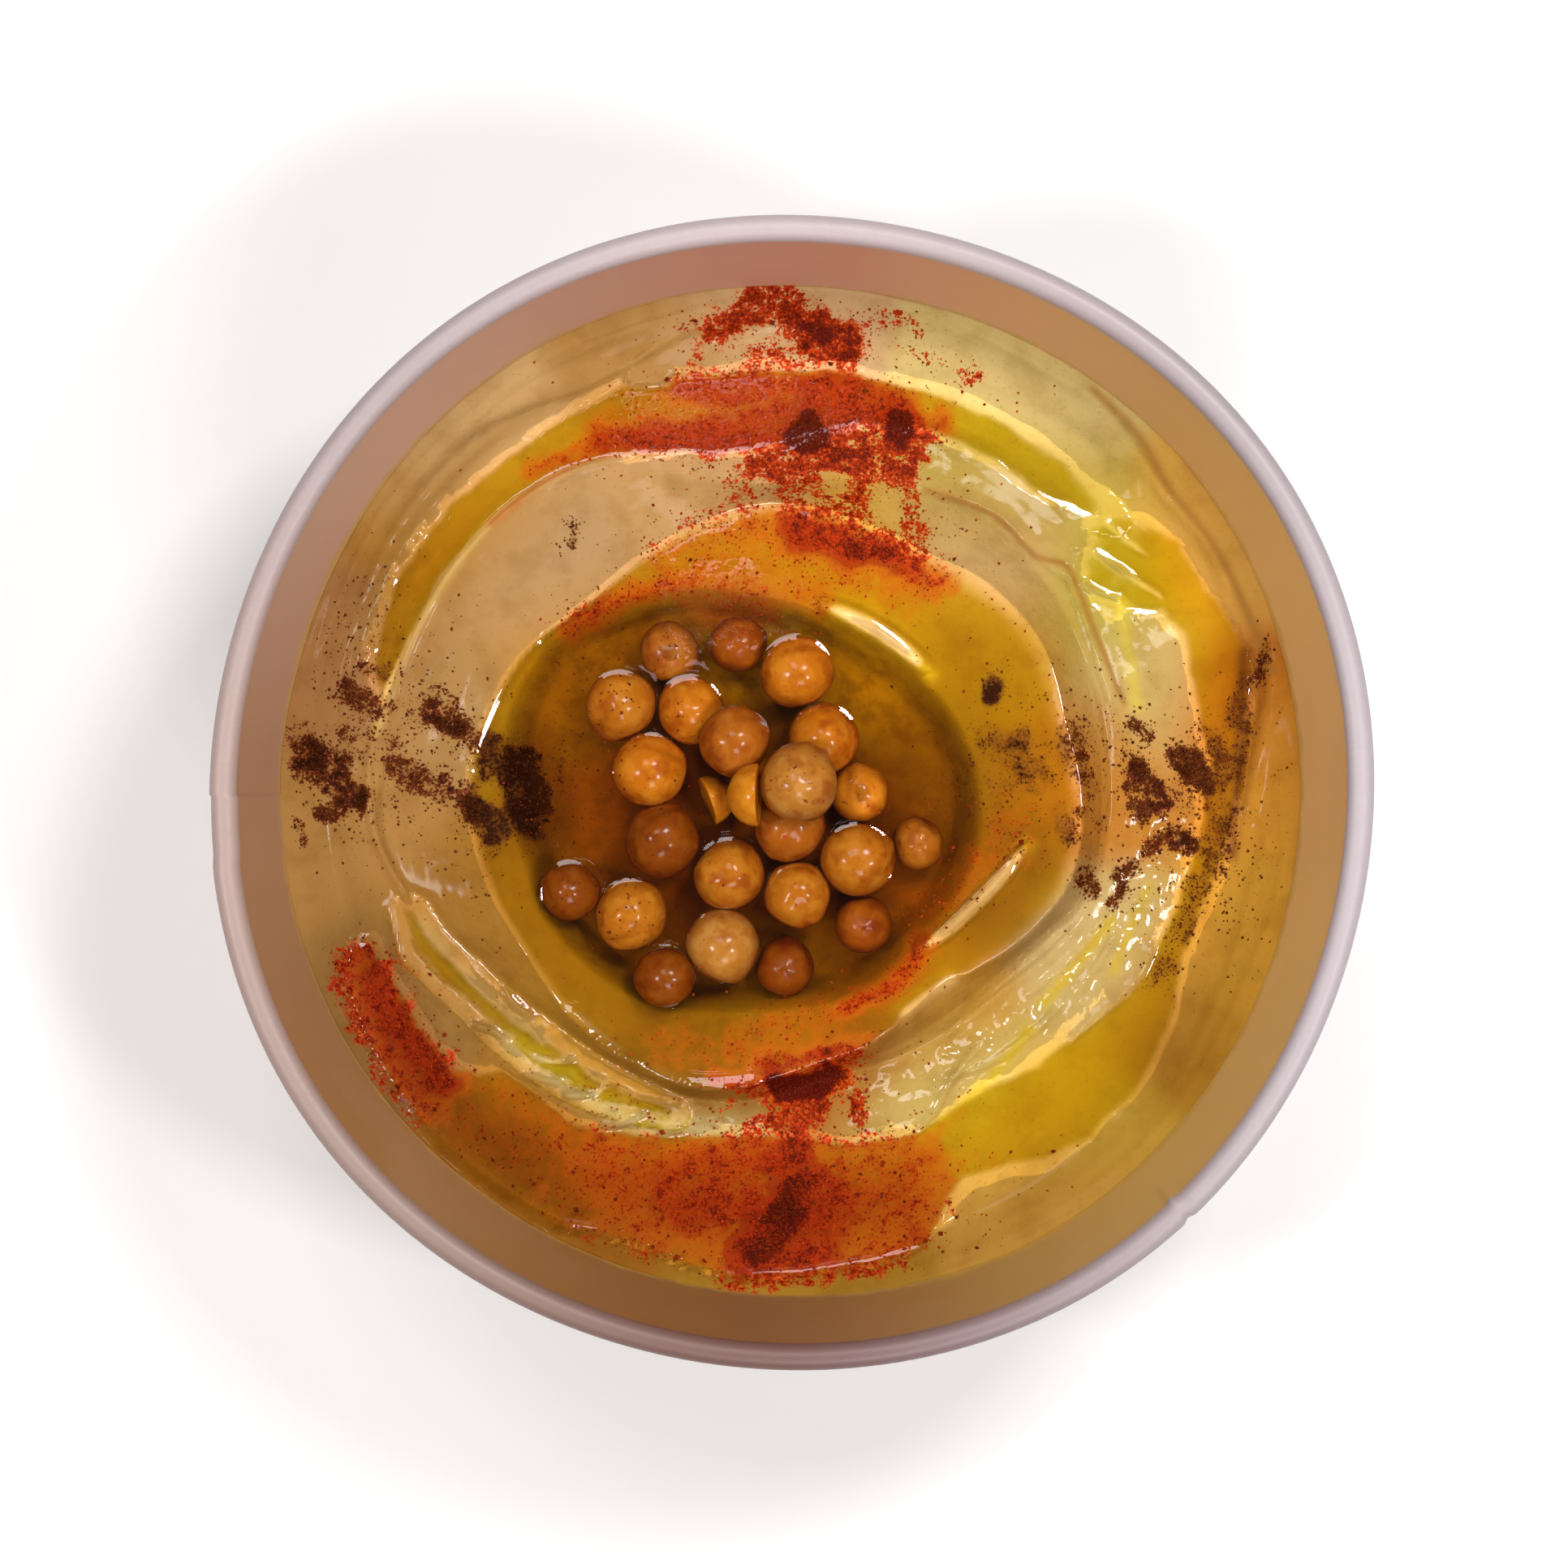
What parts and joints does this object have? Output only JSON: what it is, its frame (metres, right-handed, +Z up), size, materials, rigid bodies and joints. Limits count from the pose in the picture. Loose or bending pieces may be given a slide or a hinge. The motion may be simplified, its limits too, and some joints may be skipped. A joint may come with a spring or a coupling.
{
  "type": "bowl of hummus",
  "caption": "Round paper take-away bowl filled with hummus, its top spooned into rings, with pools of olive oil and a well of whole chickpeas.",
  "frame": {"origin": "middle of the bowl's foot, on the surface it stands on", "axes": "+Z up out of the bowl, -X through the wall's glued side seam"},
  "size_m": [0.15, 0.1488, 0.06],
  "materials": {
    "paper": "white coated paper board, satin",
    "hummus": "moist smooth paste",
    "olive_oil": "clear golden liquid",
    "chickpea_skin": "wet cooked skin"
  },
  "bodies": {
    "root": {"bowl_wall": "paper", "bowl_base": "paper", "hummus": "hummus", "oil_centre": "olive_oil", "oil_upper": "olive_oil", "oil_outer": "olive_oil", "oil_lower_left": "olive_oil", "chickpea_01": "chickpea_skin", "chickpea_02": "chickpea_skin", "chickpea_03": "chickpea_skin", "chickpea_04": "chickpea_skin", "chickpea_05": "chickpea_skin", "chickpea_06": "chickpea_skin", "chickpea_07": "chickpea_skin", "chickpea_08": "chickpea_skin", "chickpea_09": "chickpea_skin", "chickpea_10": "chickpea_skin", "chickpea_11": "chickpea_skin", "chickpea_12": "chickpea_skin", "chickpea_13": "chickpea_skin", "chickpea_14": "chickpea_skin", "chickpea_15": "chickpea_skin", "chickpea_16": "chickpea_skin", "chickpea_17": "chickpea_skin", "chickpea_18": "chickpea_skin", "chickpea_19": "chickpea_skin", "chickpea_20": "chickpea_skin", "chickpea_21": "chickpea_skin", "chickpea_22": "chickpea_skin", "half_chickpea_01": "chickpea_skin", "half_chickpea_02": "chickpea_skin"}
  },
  "joints": []
}
